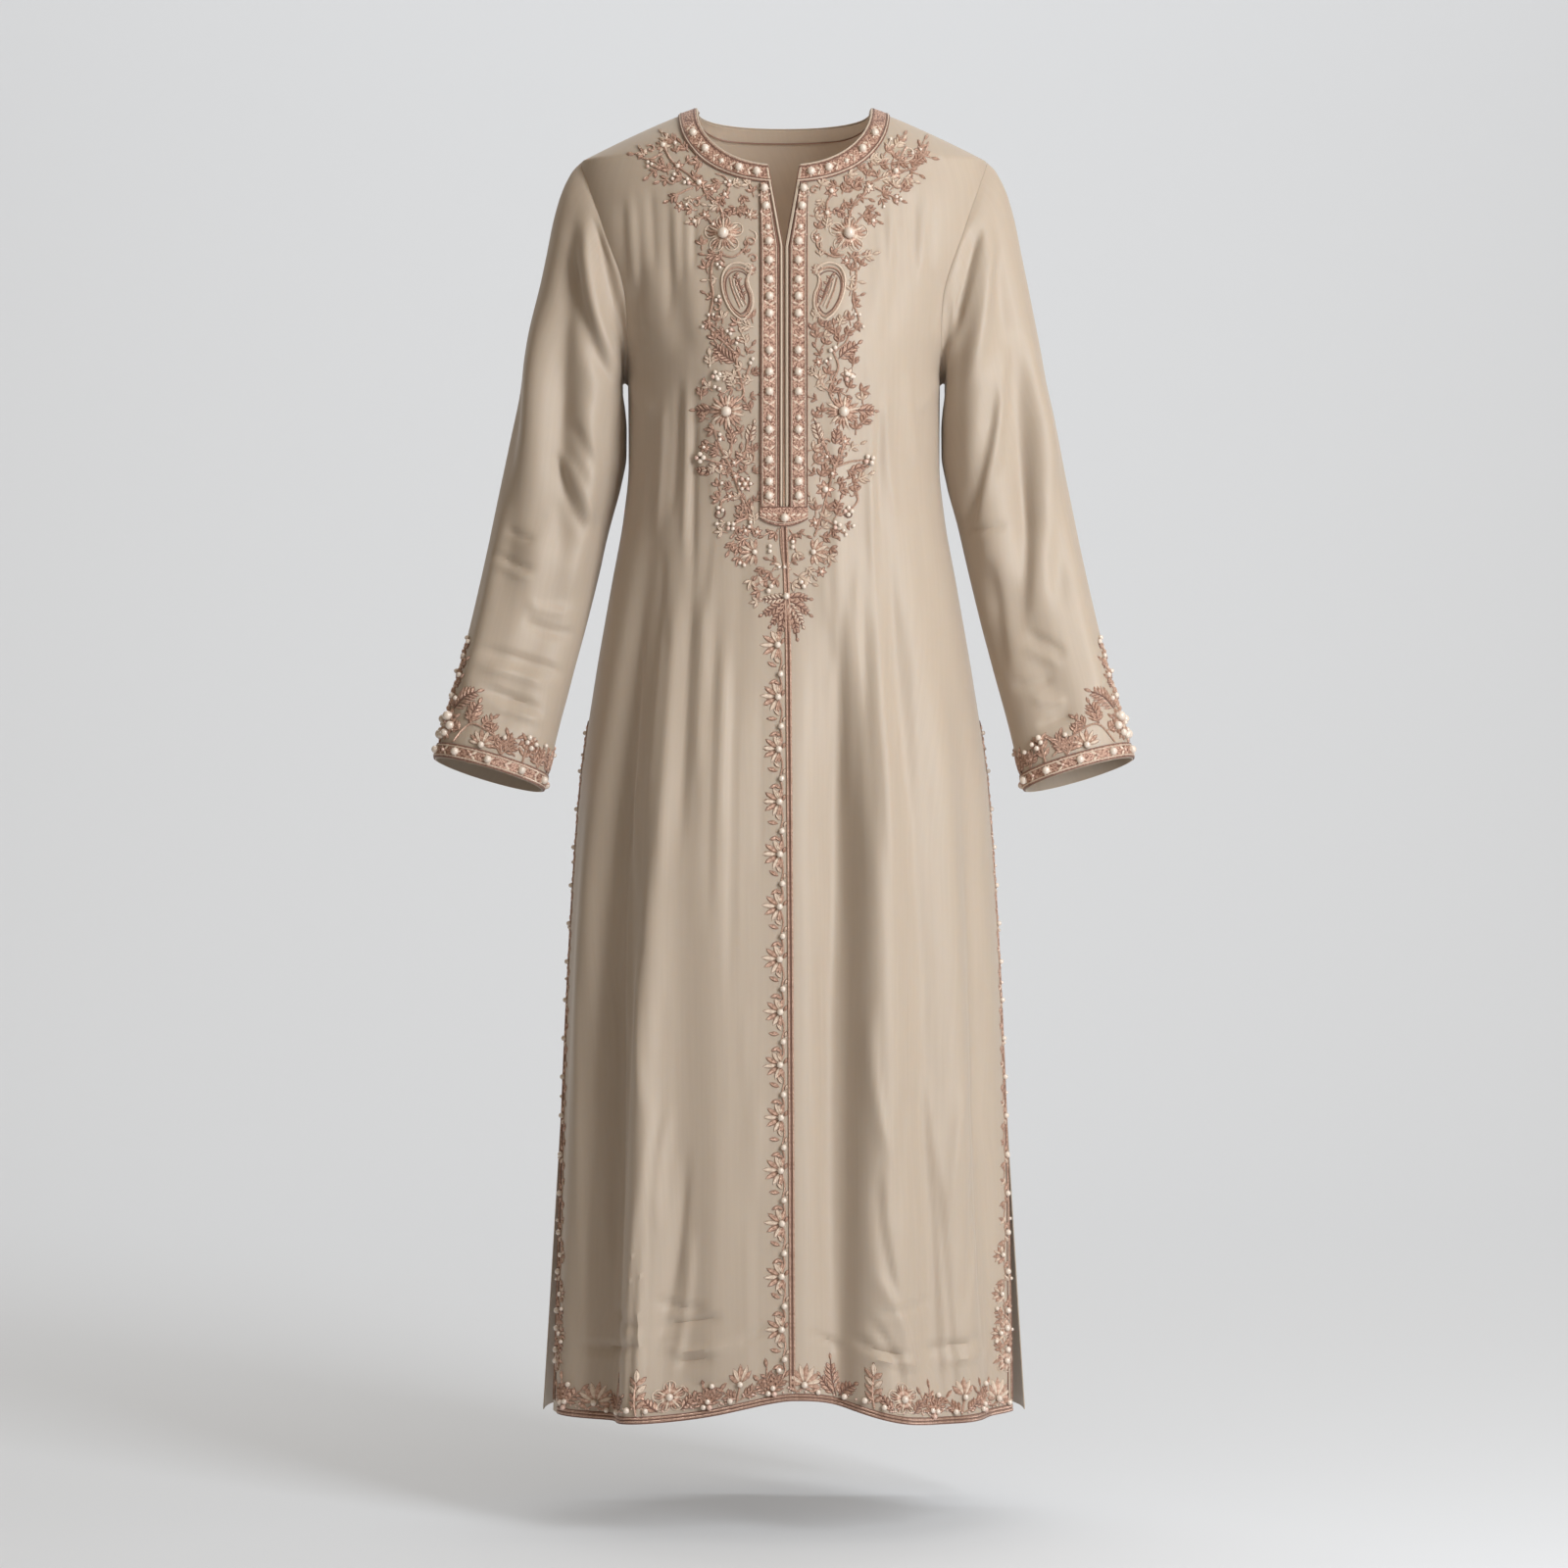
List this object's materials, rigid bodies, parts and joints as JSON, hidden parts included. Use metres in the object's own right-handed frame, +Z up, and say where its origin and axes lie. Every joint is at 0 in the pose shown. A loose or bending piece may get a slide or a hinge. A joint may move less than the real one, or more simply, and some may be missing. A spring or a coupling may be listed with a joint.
{
  "type": "long kurti (embroidered tunic dress), worn form with no wearer",
  "caption": "Calf-length kurti with full sleeves, round notched neck, pearled placket, centre braid and side slits, filled out as worn.",
  "frame": {"origin": "midway between the two high shoulder points at the neck opening, where the garment hangs on the wearer's shoulders", "axes": "+Z up along the garment, +X towards the wearer's left, -Y to the front"},
  "size_m": [0.6596, 0.3324, 1.2357],
  "materials": {
    "crepe": "beige silk crepe with a soft satin sheen and a fine weave",
    "embroidery_thread": "rose-gold couched metallic thread and cord",
    "pearl": "ivory imitation pearl, glossy with a soft lustre"
  },
  "bodies": {
    "root": {"front_right": "crepe", "front_left": "crepe", "back": "crepe", "back_neck_facing": "crepe", "sleeve_right": "crepe", "sleeve_left": "crepe", "notch_piping_right": "crepe", "notch_piping_left": "crepe", "neckband_right": "embroidery_thread", "neckband_left": "embroidery_thread", "placket_right": "embroidery_thread", "placket_left": "embroidery_thread", "placket_end": "embroidery_thread", "centre_braid": "embroidery_thread", "hem_border_right": "embroidery_thread", "hem_border_left": "embroidery_thread", "slit_edging_right": "embroidery_thread", "slit_edging_left": "embroidery_thread", "cuff_band_right": "embroidery_thread", "cuff_band_left": "embroidery_thread", "flower_right_upper": "embroidery_thread", "flower_left_upper": "embroidery_thread", "flower_right_lower": "embroidery_thread", "flower_left_lower": "embroidery_thread", "paisley_right": "embroidery_thread", "paisley_left": "embroidery_thread"}
  },
  "joints": []
}
